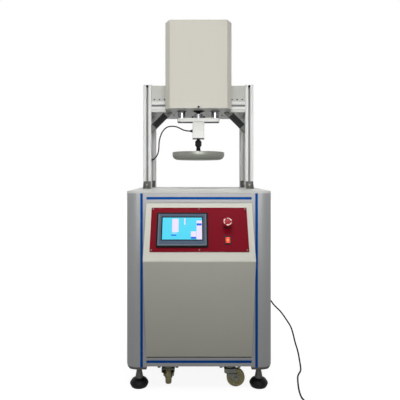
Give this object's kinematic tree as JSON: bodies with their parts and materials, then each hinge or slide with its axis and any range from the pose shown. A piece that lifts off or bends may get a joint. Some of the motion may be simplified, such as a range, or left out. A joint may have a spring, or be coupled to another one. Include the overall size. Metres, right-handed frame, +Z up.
{
  "type": "foam indentation hardness tester",
  "caption": "Floor-standing foam hardness tester: slotted-profile cabinet with sloping control desk, gantry over a vented table, and a motor-driven head with load cell and round indenter plate.",
  "frame": {"origin": "on the floor, under the middle of the machine's bounding box without its mains cord", "axes": "+Z up, +X to the operator's right, +Y to the back of the machine"},
  "size_m": [0.7696, 0.9335, 1.6],
  "materials": {
    "profile_aluminium": "satin anodised",
    "cast_aluminium": "dark die-cast",
    "blue_strip": "satin plastic extrusion",
    "panel_paint": "fine textured powder coat",
    "cover_paint": "satin powder coat",
    "plate_paint": "satin paint",
    "table_steel": "light grey paint",
    "red_paint": "dark red satin paint",
    "zinc_steel": "zinc plated",
    "bright_steel": "ground",
    "chrome_rod": "hard chrome",
    "black_steel": "black oxide",
    "white_paint": "white powder coat",
    "disc_aluminium": "grey, fine turned",
    "black_profile": "black anodised",
    "screen_plastic": "grey-blue plastic",
    "display": "lit display behind a clear touch panel",
    "red_plastic": "glossy",
    "dark_red_plastic": "matte",
    "black_plastic": "matte",
    "tan_nylon": "moulded",
    "black_rubber": "matte",
    "actuator_aluminium": "clear anodised",
    "motor_black": "black paint"
  },
  "bodies": {
    "frame": {"corner_posts": "profile_aluminium", "frame_rails": "profile_aluminium", "slot_strips": "blue_strip", "post_end_caps": "cast_aluminium", "table_plate": "table_steel", "front_panel": "panel_paint", "side_panels": "panel_paint", "rear_panel": "panel_paint", "bottom_panel": "panel_paint", "control_plate": "red_paint", "frame_screws": "zinc_steel", "screen_housing": "screen_plastic", "screen_glass": "display", "stop_collar": "dark_red_plastic", "rocker_bezel": "black_plastic", "columns": "profile_aluminium", "cast_brackets": "cast_aluminium", "cross_beams": "profile_aluminium", "beam_plates": "plate_paint", "corner_braces": "black_profile", "head_cover": "cover_paint", "head_plate": "plate_paint", "guide_bushings": "bright_steel", "screw_actuator": "actuator_aluminium", "belt_case": "black_profile", "servo_motor": "motor_black", "electrics_plate": "zinc_steel", "servo_drive": "black_plastic", "power_supply": "actuator_aluminium", "caster_plates": "zinc_steel", "cable_clip": "black_plastic", "load_cell_cable": "black_rubber", "power_gland": "black_plastic", "power_cord": "black_rubber", "cord_coil": "black_rubber", "plug": "black_plastic"},
    "indenter": {"thrust_rod": "bright_steel", "guide_rods": "chrome_rod", "stop_collars": "black_steel", "floating_joint": "black_steel", "crosshead": "white_paint", "load_cell": "bright_steel", "load_cell_case": "white_paint", "disc_coupling": "black_steel", "indenter_disc": "disc_aluminium"},
    "stop_plunger": {"stop_plunger": "black_plastic"},
    "stop_head": {"stop_head": "red_plastic"},
    "rocker": {"rocker": "red_plastic"},
    "fork_front_left": {"fork_front_left": "zinc_steel"},
    "wheel_front_left": {"wheel_front_left": "tan_nylon"},
    "fork_front_right": {"fork_front_right": "zinc_steel"},
    "wheel_front_right": {"wheel_front_right": "tan_nylon"},
    "fork_rear_left": {"fork_rear_left": "zinc_steel"},
    "wheel_rear_left": {"wheel_rear_left": "tan_nylon"},
    "fork_rear_right": {"fork_rear_right": "zinc_steel"},
    "wheel_rear_right": {"wheel_rear_right": "tan_nylon"},
    "foot_front_left": {"foot_front_left": "black_rubber"},
    "foot_front_right": {"foot_front_right": "black_rubber"},
    "foot_rear_left": {"foot_rear_left": "black_rubber"},
    "foot_rear_right": {"foot_rear_right": "black_rubber"}
  },
  "joints": [
    {"name": "indenter_slide", "type": "slide", "parent": "frame", "child": "indenter", "axis": [0, 0, 1], "range_m": [-0.137, 0.01], "deforming": ["load_cell_cable"]},
    {"name": "stop_press", "type": "slide", "parent": "frame", "child": "stop_plunger", "axis": [0, 0.8446, -0.5353], "range_m": [0, 0.004], "stiffness_N_per_m": 800},
    {"name": "stop_twist", "type": "hinge", "parent": "stop_plunger", "child": "stop_head", "pos_m": [0.111, -0.3391, 0.685], "axis": [0, -0.8446, 0.5353], "range_deg": [0, 45], "stiffness_Nm_per_rad": 0.05},
    {"name": "rocker_tilt", "type": "hinge", "parent": "frame", "child": "rocker", "pos_m": [0.111, -0.37163, 0.62807], "axis": [1, 0, 0], "range_deg": [-16, 0]},
    {"name": "swivel_front_left", "type": "hinge", "parent": "frame", "child": "fork_front_left", "pos_m": [-0.128, -0.2405, 0.085], "axis": [0, 0, 1], "continuous": true},
    {"name": "spin_front_left", "type": "hinge", "parent": "fork_front_left", "child": "wheel_front_left", "pos_m": [-0.128, -0.2155, 0.0415], "axis": [1, 0, 0], "continuous": true},
    {"name": "swivel_front_right", "type": "hinge", "parent": "frame", "child": "fork_front_right", "pos_m": [0.128, -0.2405, 0.085], "axis": [0, 0, 1], "continuous": true},
    {"name": "spin_front_right", "type": "hinge", "parent": "fork_front_right", "child": "wheel_front_right", "pos_m": [0.153, -0.2405, 0.0415], "axis": [0, 1, 0], "continuous": true},
    {"name": "swivel_rear_left", "type": "hinge", "parent": "frame", "child": "fork_rear_left", "pos_m": [-0.128, 0.3755, 0.085], "axis": [0, 0, 1], "continuous": true},
    {"name": "spin_rear_left", "type": "hinge", "parent": "fork_rear_left", "child": "wheel_rear_left", "pos_m": [-0.103, 0.3755, 0.0415], "axis": [0, 1, 0], "continuous": true},
    {"name": "swivel_rear_right", "type": "hinge", "parent": "frame", "child": "fork_rear_right", "pos_m": [0.128, 0.3755, 0.085], "axis": [0, 0, 1], "continuous": true},
    {"name": "spin_rear_right", "type": "hinge", "parent": "fork_rear_right", "child": "wheel_rear_right", "pos_m": [0.128, 0.3505, 0.0415], "axis": [1, 0, 0], "continuous": true},
    {"name": "level_front_left", "type": "slide", "parent": "frame", "child": "foot_front_left", "axis": [0, 0, 1], "range_m": [-0.02, 0.005]},
    {"name": "level_front_right", "type": "slide", "parent": "frame", "child": "foot_front_right", "axis": [0, 0, 1], "range_m": [-0.02, 0.005]},
    {"name": "level_rear_left", "type": "slide", "parent": "frame", "child": "foot_rear_left", "axis": [0, 0, 1], "range_m": [-0.02, 0.005]},
    {"name": "level_rear_right", "type": "slide", "parent": "frame", "child": "foot_rear_right", "axis": [0, 0, 1], "range_m": [-0.02, 0.005]}
  ]
}
